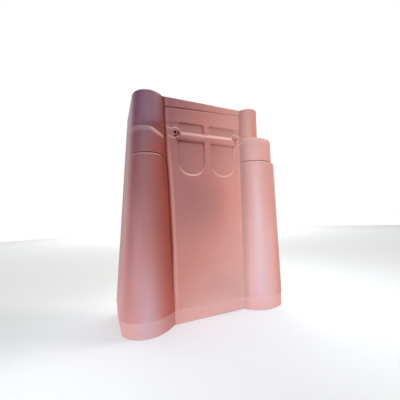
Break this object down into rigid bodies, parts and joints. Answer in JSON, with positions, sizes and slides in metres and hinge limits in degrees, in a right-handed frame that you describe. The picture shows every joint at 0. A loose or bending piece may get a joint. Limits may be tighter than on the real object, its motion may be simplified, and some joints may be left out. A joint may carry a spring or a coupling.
{
  "type": "verge tile",
  "caption": "Left-hand clay verge tile with a flat pan between two hollow rolls, a deep side flange, a stepped head with nail places, and hanging nibs behind.",
  "frame": {"origin": "middle of the tile's bounding box at its bottom, on the plane of the tail that it stands on", "axes": "+Z from the tail up to the head, -Y out of the weather face, +Y towards the underside, -X towards the verge roll and its flange, +X towards the cover roll"},
  "size_m": [0.3594, 0.1522, 0.44],
  "materials": {
    "clay": "unglazed fired clay, smooth and slightly satin"
  },
  "bodies": {
    "root": {"verge_tile": "clay"}
  },
  "joints": []
}
